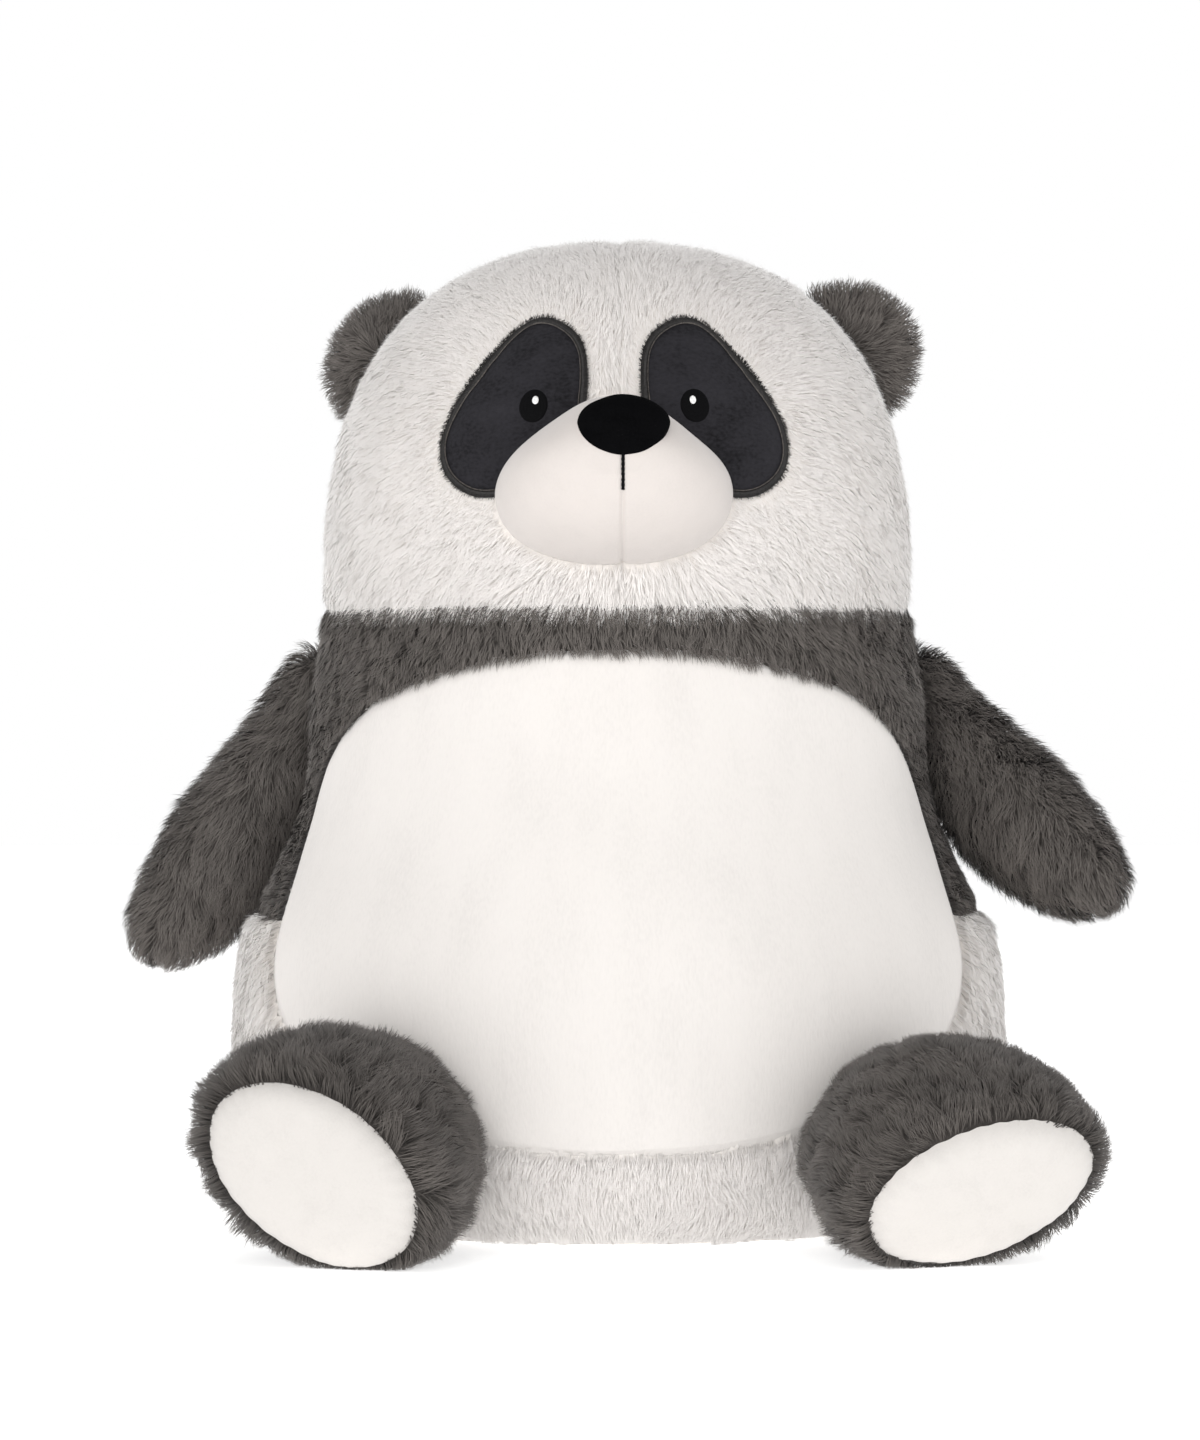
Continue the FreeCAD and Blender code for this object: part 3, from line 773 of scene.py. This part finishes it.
# ---------------- muzzle and nose
NOSE_LIFT = 2.2 * MM
muzzle_points = node_points("muzzle_left", "muzzle_right")
muz_low, muz_high = muzzle_points.min(0), muzzle_points.max(0)
muz_middle = np.array([face_x, muz_high[1] + 2 * MM, (muz_low[2] + muz_high[2]) / 2])
nose_low, nose_high = (np.array(v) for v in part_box("nose_cover"))
nose_middle = (nose_low + nose_high) / 2


def muzzle_cover():
    """A dome ray-traced from the CAD muzzle, drawn in along its centre seam and round its rim."""
    rings, spokes = 64, 260
    verts = []
    for r, _, a in disc_steps(rings, spokes):
        tilt = math.radians(98) * r
        d = Vector((math.sin(tilt) * math.cos(a), -math.cos(tilt), math.sin(tilt) * math.sin(a)))
        hit = muzzle_tree.ray_cast(Vector(muz_middle) + d * 0.12, -d)[0]
        verts.append(np.array(Vector(muz_middle) + d * 0.03 if hit is None else hit))
    obj = smoothed(new_object("muzzle_cover", verts, disc_faces(rings, spokes, turned=True)), 4)
    co, no = points_of(obj.data), normals_of(obj.data)
    if no[0][1] >= 0:
        obj.data.flip_normals()
        no = -no
    seam_off = np.abs(co[:, 0] - nose_middle[0] + 0.4 * MM)
    crease = np.exp(-(seam_off / (0.9 * MM)) ** 2) * 0.9 * MM
    crease += np.exp(-(seam_off / (5 * MM)) ** 2) * 0.35 * MM
    co = co - no * (crease - 1.1 * MM)[:, None]
    co += no * (waves(co, 26 * MM, 3) * 0.22 * MM)[:, None]
    set_points(obj.data, co)
    finished(obj, "muzzle", "trunk", ("muzzle_left", "muzzle_right"))
    return obj


muzzle_skin_tree = tree_of(muzzle_cover())


def muzzle_front(x, z):
    """How far forward the muzzle's cover lies at (x, z), or None beside it."""
    hit = muzzle_skin_tree.ray_cast(Vector((x, -0.3, z)), FRONT)
    return None if hit[0] is None else hit[0].y


def nose_cover():
    """The nose: wider than high, domed above, with a blunt point below, and standing off the muzzle."""
    half = (nose_high - nose_low) / 2
    wide, high, deep = half[0] + 0.7 * MM, half[2] + 0.8 * MM, half[2] + 2.6 * MM
    rings, spokes = 30, 112
    lines = []
    for back in (0, 1):
        for i in range(rings + 1) if not back else range(rings - 1, -1, -1):
            r = math.sin(0.5 * math.pi * i / rings)
            row = []
            for j in range(spokes):
                a = 2 * math.pi * j / spokes
                c, s = math.cos(a), math.sin(a)
                power = 1.85 if s > 0 else 1.80
                tall = high if s > 0 else deep
                reach = (abs(c) ** power + abs(s) ** power) ** (-1 / power)
                x = nose_middle[0] + wide * reach * c * r
                z = nose_middle[2] + tall * reach * s * r
                bulge = (half[1] + 0.6 * MM) * math.sqrt(max(0.0, 1 - r * r))
                y = nose_middle[1] + (bulge if back else -bulge)
                if not back:
                    face = muzzle_front(x, z)
                    if face is not None:
                        y = min(y, face - NOSE_LIFT * math.sqrt(max(0.0, 1 - r ** 4)) - 0.1 * MM)
                row.append((x, y, z))
            lines.append(row)
    verts = [p for row in lines for p in row]
    faces = []
    for i in range(len(lines) - 1):
        for j in range(spokes):
            k = (j + 1) % spokes
            a, b = i * spokes, (i + 1) * spokes
            faces.append((a + j, a + k, b + k, b + j))
    obj = new_object("nose_velour", verts, faces)
    bm = bmesh.new()
    bm.from_mesh(obj.data)
    bmesh.ops.remove_doubles(bm, verts=bm.verts, dist=0.02 * MM)
    bmesh.ops.recalc_face_normals(bm, faces=bm.faces)
    bm.to_mesh(obj.data)
    bm.free()
    obj = smoothed(obj, 2)
    co, no = points_of(obj.data), normals_of(obj.data)
    set_points(obj.data, co + no * (waves(co, 9 * MM, 2) * 0.16 * MM)[:, None])
    finished(obj, "nose", "trunk", ("nose_cover",))


nose_cover()


def thread(name, line, radius, key, body, replaced):
    """A thread along points, as one curve that is thicker and thinner along its length."""
    curve = bpy.data.curves.new(name, "CURVE")
    curve.dimensions = "3D"
    curve.bevel_depth = radius
    curve.bevel_resolution = 3
    curve.use_fill_caps = True
    spline = curve.splines.new("POLY")
    spline.points.add(len(line) - 1)
    for i, (point, p) in enumerate(zip(spline.points, line)):
        point.co = (*p, 1.0)
        point.radius = 1.0 + 0.22 * math.sin(2.3 * i)
    finished(placed(name, curve), key, body, replaced)


def on_muzzle(x, z, out):
    """The point that stands out from the muzzle's cover at (x, z)."""
    hit = muzzle_skin_tree.ray_cast(Vector((x, -0.3, z)), FRONT)
    return np.array(hit[0]) + np.array(hit[1]) * out


MOUTH_RADIUS = 0.62 * MM
mouth_heights = np.linspace(nose_low[2] + 2 * MM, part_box("mouth_stitch")[0].z, 26)
mouth_line = [on_muzzle(nose_middle[0], z, 0.35 * MM) for z in mouth_heights]
thread("mouth_thread", mouth_line, MOUTH_RADIUS, "black_thread", "trunk", ("mouth_stitch",))

# ---------------- limbs
def limb_skin(name, filling, voxel, key, body, replaced, held=None):
    """A limb's filled cover. held marks the points where the limb is sewn on."""
    skin = smoothed(offset(remeshed(joined(name, filling), voxel), COVER), 3)
    co = points_of(skin.data)
    pins = np.zeros(len(co))
    if held is not None:
        pins[held(co)] = 1.0
    skin = puffed(skin, pins, cap=1.2 * MM, pressure=3.0)
    skin = subdivided(skin, 1)
    finished(skin, key, body, (filling, *replaced))
    return skin


joint_at = {j["child"]: np.array(j["pos_m"]) for j in frame["joints"]}
limb_skins = {}
ARM_ROOT = 14 * MM   # radius of the arm's sewn root
LEG_ROOT_Y = -0.105  # the legs are sewn on behind this
for side in ("left", "right"):
    arm, leg = f"{side}_arm", f"{side}_leg"
    limb_skins[arm] = limb_skin(
        f"{arm}_skin", f"{arm}_filling", 3 * MM, "grey_backing", arm,
        (f"{arm}_front", f"{arm}_back"),
        lambda co, at=joint_at[arm]: np.linalg.norm(co - at, axis=1) < ARM_ROOT)
    limb_skins[leg] = limb_skin(
        f"{leg}_skin", f"{leg}_filling", 4 * MM, "grey_backing", leg,
        (f"{leg}_outer", f"{leg}_inner"), lambda co: co[:, 1] > LEG_ROOT_Y)
    ear = remeshed(joined(f"{side}_ear_skin", f"{side}_ear_front", f"{side}_ear_back"), 1.5 * MM)
    ear = smoothed(ear, 4)
    finished(ear, "grey_backing", f"{side}_ear", (f"{side}_ear_front", f"{side}_ear_back"))
    limb_skins[f"{side}_ear"] = ear

tail_skin = limb_skin("tail_skin", "tail_filling", 2 * MM, "white_backing", "trunk",
                      ("tail_cover",))


SOLE_FIT = 0.985  # the sole's cover against its panel


def sole_of(side):
    """The foot's velour disc: crowned, and gathered a little along the seam at its rim."""
    pts = node_points(f"{side}_foot_sole")
    middle = pts.mean(0)
    axes = np.linalg.eigh(np.cov((pts - middle).T))[1]
    normal, short, long = axes[:, 0], axes[:, 1], axes[:, 2]
    if normal[1] > 0:
        normal = -normal
    rel = pts - middle
    reach = [np.abs(rel @ long).max(), np.abs(rel @ short).max()]
    middle = middle + long * ((rel @ long).max() + (rel @ long).min()) / 2
    middle = middle + short * ((rel @ short).max() + (rel @ short).min()) / 2
    front = (rel @ normal).max()
    rings, spokes = 34, 180
    verts = []
    for r, _, a in disc_steps(rings, spokes):
        pucker = 0.35 * MM * math.sin(34 * a + 1.5 * math.sin(3 * a)) * r ** 9
        rise = front - 1.2 * MM + 2.4 * MM * (1 - r ** 2) - 5.2 * MM * r ** 10 + pucker
        flat = long * (reach[0] * math.cos(a)) + short * (reach[1] * math.sin(a))
        verts.append(middle + flat * (SOLE_FIT * r) + normal * rise)
    turned = np.dot(np.cross(long, short), normal) <= 0
    obj = new_object(f"{side}_sole_velour", verts, disc_faces(rings, spokes, turned))
    co, no = points_of(obj.data), normals_of(obj.data)
    set_points(obj.data, co + no * (waves(co, 22 * MM, 4) * 0.25 * MM)[:, None])
    finished(obj, "sole", f"{side}_leg", (f"{side}_foot_sole",))
    return middle, normal, long * reach[0], short * reach[1]


soles = {side: sole_of(side) for side in ("left", "right")}

# ---------------- pile
HEAD_PILE, YOKE_PILE, LOWER_PILE, SEAM_PILE = 7.5 * MM, 9.0 * MM, 9.5 * MM, 7.5 * MM
ARM_PILE, LEG_PILE, EAR_PILE, TAIL_PILE = 11.5 * MM, 12.5 * MM, 8.5 * MM, 11 * MM
PRESSED = {"left": 0.35, "right": 0.0}  # how flat the pile on top of each leg is pressed


def round_trunk(root):
    return np.arctan2(root[:, 0], -root[:, 1])


def ray_blocked(tree, points, direction, reach):
    return np.array([tree.ray_cast(Vector(p), direction, reach)[0] is not None for p in points])


FACE_HALF_WIDTH = 0.085  # the muzzle and the eye patches lie within this of the middle
TRIM_GAP = 0.5 * MM      # bare cloth round an eye patch
CROWN_Z = 0.315          # above this the head's pile is combed backwards


def head_fur():
    """Short round the trims and combed away from them, longer where it hangs over the yoke."""
    rng = np.random.default_rng(11)
    root, normal = sample(skins["head_fur"], DENSITY * 1.6, rng)
    front = root[:, 1] < -0.02
    keep = np.ones(len(root), bool)
    look = front & (np.abs(root[:, 0]) < FACE_HALF_WIDTH) & (root[:, 2] > neck_z)
    index = np.nonzero(look)[0]
    hidden = ray_blocked(muzzle_skin_tree, root[index], Vector((0, -1, 0)), 0.09)
    keep[index[hidden]] = False
    gap = np.full(len(root), 0.05)
    near = np.zeros((len(root), 3))
    for middle, out in outlines.values():
        rel = root[:, [0, 2]] - middle
        angle = np.arctan2(rel[:, 1], rel[:, 0])
        away = np.hypot(rel[:, 0], rel[:, 1]) - radius_at(out, angle)
        away[~front] = 0.05
        closer = away < gap
        gap[closer] = away[closer]
        near[closer] = np.stack([np.cos(angle), np.zeros(len(angle)), np.sin(angle)], 1)[closer]
    keep &= gap > TRIM_GAP
    root, normal, gap, near, front = root[keep], normal[keep], gap[keep], near[keep], front[keep]
    from_muzzle = root - np.array([nose_middle[0], muz_low[1] * 0.5, muz_middle[2]])
    away = from_muzzle * np.array([1.0, 0.0, 1.0])
    far = np.linalg.norm(away, axis=1)
    ahead = np.clip(0.5 - root[:, 1] / 0.05, 0, 1)[:, None]
    close = np.exp(-(far / 0.075) ** 2)[:, None] * ahead
    comb = unit(away) * (0.45 * ahead + 0.9 * close) + np.array([0, 0.35, -0.75]) * (1 - 0.75 * close)
    comb[:, 1] += 0.9 * np.clip((root[:, 2] - CROWN_Z) / 0.05, 0, 1)
    comb = comb + near * (1.6 * np.exp(-(np.maximum(gap, 0) / (5 * MM)) ** 2))[:, None]
    parting = front & (root[:, 2] > muz_high[2])
    off = root[:, 0] - face_x
    comb[:, 0] += np.where(parting, np.sign(off) * np.exp(-(off / (4 * MM)) ** 2) * 0.25, 0)
    length = HEAD_PILE * (0.40 + 0.60 * np.clip((gap - TRIM_GAP) / (8 * MM), 0, 1))
    chin = front & (root[:, 2] < muz_middle[2])
    hang = chin * np.clip(1 - (root[:, 2] - neck_z) / 0.030, 0, 1)
    length = length * (1 + 0.55 * hang)
    grow("head_fur", root, normal, comb, length, rng, "white_fur", "trunk", stand=44, lie=83,
         width=0.24 * MM, gather=0.15, clump=0.17, stray=0.20, rings=3, even=0.15, swirl=0.25,
         relief=0.08, order=round_trunk(root))


def yoke_fur():
    """Grey pile that hangs down, turns over the belly's edge, and is pressed flat under the arms."""
    rng = np.random.default_rng(12)
    root, normal = sample(skins["yoke_fur"], DENSITY * 1.1, rng)
    comb = np.tile([0.0, 0.0, -1.0], (len(root), 1))
    comb[:, 0] += root[:, 0] * 1.5
    belly_tree = panel_trees["belly_panel"]
    for i in np.nonzero(np.abs(root[:, 0]) < 0.14)[0]:
        edge = belly_tree.find_nearest(root[i], 8 * MM)
        if edge[0] is not None:
            towards = np.array(edge[0]) - root[i]
            comb[i] += towards / max(edge[3], 1 * MM) * (0.75 * math.exp(-(edge[3] / (5 * MM)) ** 2))
    pressed = np.clip((np.abs(root[:, 0]) - 0.085) / 0.02, 0, 1) * np.clip((0.205 - root[:, 2]) / 0.02, 0, 1)
    grow("yoke_fur", root, normal, comb, YOKE_PILE * (1 - 0.4 * pressed), rng, "grey_fur", "trunk",
         stand=32, lie=78, width=0.30 * MM, gather=0.40, clump=0.22, rings=3, order=round_trunk(root))


def lower_fur():
    """White pile round the bottom, with a row along the belly's bottom seam that covers it."""
    rng = np.random.default_rng(13)
    root, normal = sample(skins["lower_fur"], DENSITY * 1.25, rng)
    comb = np.tile([0.0, 0.0, -1.0], (len(root), 1))
    length = LOWER_PILE * np.clip(0.55 + root[:, 2] / (12 * MM), 0.55, 1)
    grow("lower_fur", root, normal, comb, length, rng, "white_fur", "trunk", stand=40, lie=82,
         width=0.24 * MM, tuft=5.5 * MM, gather=0.20, clump=0.16, stray=0.2, rings=3, relief=0.08,
         lift=2.0 * MM, order=round_trunk(root))
    root, normal = sample(belly, DENSITY * 3.0, rng)
    low = root[:, 2] < LOW_Z
    root, normal = root[low], normal[low]
    reach = panel_distances(root)
    past = (np.argmin(reach, axis=1) != BELLY) | (np.sort(reach, axis=1)[:, 1] < 0.4 * MM)
    root, normal = root[past], normal[past]
    comb = np.tile([0.0, -0.2, -1.0], (len(root), 1))
    grow("belly_seam_fur", root, normal, comb, SEAM_PILE, rng, "white_fur", "trunk", stand=34, lie=80,
         width=0.22 * MM, tuft=3 * MM, gather=0.18, clump=0.16, rings=3, relief=0.08)


def arm_fur(side):
    """Combed from the shoulder to the paw, and inwards on the side that faces the trunk."""
    rng = np.random.default_rng(21 if side == "left" else 22)
    skin = limb_skins[f"{side}_arm"]
    root, normal = sample(skin, DENSITY * 1.15, rng)
    pts = points_of(skin.data)
    shoulder = joint_at[f"{side}_arm"]
    tip = pts[np.argmax(np.linalg.norm(pts - shoulder, axis=1))]
    axis = unit(tip - shoulder)
    comb = np.tile(axis, (len(root), 1)) + np.array([0, 0, -0.35])
    inwards = np.array([-math.copysign(1, shoulder[0]), -0.5, 0])
    facing = np.clip(normal @ unit(inwards), 0, 1) * np.clip((root - shoulder) @ axis / 0.03, 0, 1)
    comb = comb + inwards * (0.55 * facing)[:, None]
    length = ARM_PILE * (1 + 0.35 * facing)
    grow(f"{side}_arm_fur", root, normal, comb, length, rng, "grey_fur", f"{side}_arm", stand=28,
         lie=81, width=0.30 * MM, tuft=5.5 * MM, gather=0.27, clump=0.22, even=0.2,
         order=(root - shoulder) @ axis)


def leg_fur(side):
    """Combed back from the sole's rim, and shorter where the leg rests on the floor."""
    rng = np.random.default_rng(31 if side == "left" else 32)
    skin = limb_skins[f"{side}_leg"]
    root, normal = sample(skin, DENSITY * 1.15, rng)
    middle, out, long, short = soles[side]
    rel = root - middle
    flat = rel - out * (rel @ out)[:, None]
    inside = (flat @ long / (long @ long)) ** 2 + (flat @ short / (short @ short)) ** 2
    keep = ~((inside < 0.90) & (rel @ out > -6 * MM))
    root, normal, flat, rel = root[keep], normal[keep], flat[keep], rel[keep]
    rim = np.exp(-((rel @ out) / (9 * MM)) ** 2)[:, None]
    comb = np.tile(-out, (len(root), 1)) * (1 - 0.6 * rim) + unit(flat) * 0.35 + np.array([0, 0, -0.20])
    length = LEG_PILE * np.clip(0.42 + root[:, 2] / (22 * MM), 0.42, 1.0)
    length *= 1 - PRESSED[side] * np.clip(normal[:, 2] / 0.6, 0, 1)
    length *= np.where(rel @ out > -6 * MM, 0.85, 1.0)
    grow(f"{side}_leg_fur", root, normal, comb, length, rng, "grey_fur_light", f"{side}_leg", stand=20,
         lie=66, tuft=8 * MM, gather=0.44, clump=0.48, stray=0.28, even=0.25, swirl=0.5, relief=0.36,
         order=rel @ out)


def ear_fur(side):
    """Combed out from the ear's root to its rim."""
    rng = np.random.default_rng(41 if side == "left" else 42)
    skin = limb_skins[f"{side}_ear"]
    root, normal = sample(skin, DENSITY * 1.25, rng)
    pts = points_of(skin.data)
    base = joint_at[f"{side}_ear"]
    out = unit(pts.mean(0) - base)
    comb = unit(root - base) + out * 0.4
    grow(f"{side}_ear_fur", root, normal, comb, EAR_PILE, rng, "grey_fur", f"{side}_ear",
         stand=26, lie=74, width=0.30 * MM, tuft=4.5 * MM, gather=0.30, clump=0.35, stray=0.3)


def tail_fur():
    """Combed out from the tail's middle and down."""
    rng = np.random.default_rng(51)
    root, normal = sample(tail_skin, DENSITY * 1.15, rng)
    comb = unit(root - points_of(tail_skin.data).mean(0)) * 0.5 + np.array([0, 0.3, -0.8])
    grow("tail_fur", root, normal, comb, TAIL_PILE, rng, "white_fur", "trunk", stand=24,
         lie=66, width=0.34 * MM, gather=0.4)


head_fur()
yoke_fur()
lower_fur()
tail_fur()
for side in ("left", "right"):
    arm_fur(side)
    leg_fur(side)
    ear_fur(side)

# ---------------- CAD nodes that stay
for name, key in (("base_panel", "base"), ("closing_stitches", "cream_thread")):
    mesh = NODES[name].data
    mesh.materials.clear()
    mesh.materials.append(MAT[key])

bpy.data.objects.remove(trunk)

# ---------------- stage, light and camera
def floor():
    half = 6.0
    corners = [(-half, -half, 0), (half, -half, 0), (half, half, 0), (-half, half, 0)]
    obj = new_object("floor", corners, [(0, 1, 2, 3)])
    mat, tree, shader = material("floor_paper", 0.9, 0.0, 0.1)
    where = tree.nodes.new("ShaderNodeTexCoord")
    grain = noise(tree, where.outputs["Generated"], 0.025, 2)
    stops = [(0.3, (0.955, 0.955, 0.955)), (0.7, (0.965, 0.965, 0.965))]
    tree.links.new(ramp(tree, grain, stops), shader.inputs["Base Color"])
    shader.inputs["Emission Color"].default_value = (1.0, 1.0, 1.0, 1.0)
    shader.inputs["Emission Strength"].default_value = 0.62
    obj.data.materials.append(mat)


def lamp(name, at, target, size, power, colour=(1, 1, 1)):
    data = bpy.data.lights.new(name, "AREA")
    data.shape = "RECTANGLE"
    data.size, data.size_y = size
    data.energy = power
    data.color = colour
    obj = placed(name, data)
    obj.location = at
    obj.rotation_mode = "QUATERNION"
    obj.rotation_quaternion = (Vector(target) - Vector(at)).to_track_quat("-Z", "Y")


floor()
MIDDLE = (0, 0, 0.2)
lamp("key", (-0.5, -2.3, 0.75), MIDDLE, (1.3, 1.1), 21, (1.0, 0.995, 0.985))
lamp("fill", (1.5, -1.8, 0.6), MIDDLE, (1.3, 1.3), 3.5)
lamp("top", (0.0, 0.3, 2.0), MIDDLE, (1.8, 1.8), 8)
lamp("back", (0.5, 2.3, 1.1), MIDDLE, (1.5, 1.3), 16)
world = bpy.data.worlds.new("studio")
world.use_nodes = True
sky = world.node_tree
where = sky.nodes.new("ShaderNodeTexCoord")
split = sky.nodes.new("ShaderNodeSeparateXYZ")
sky.links.new(where.outputs["Generated"], split.inputs["Vector"])
height = node(sky, "ShaderNodeMapRange", interpolation_type="SMOOTHSTEP")
for socket, value in (("From Min", 0.15), ("From Max", 0.75), ("To Min", 1.0), ("To Max", 0.26)):
    height.inputs[socket].default_value = value
sky.links.new(split.outputs["Z"], height.inputs["Value"])
sky.links.new(height.outputs["Result"], sky.nodes["Background"].inputs["Strength"])
sky.nodes["Background"].inputs["Color"].default_value = (1.0, 1.0, 1.0, 1.0)
SCENE.world = world
SCENE.view_settings.view_transform = "Standard"

camera_data = bpy.data.cameras.new("camera")
camera = placed("camera", camera_data)
camera.location = (-0.0071, -2.0, 0.1989)
camera.rotation_euler = (math.radians(90), 0, 0)
camera_data.sensor_width = 36.0
camera_data.lens = 125.9
camera_data.clip_start = 0.05
SCENE.camera = camera
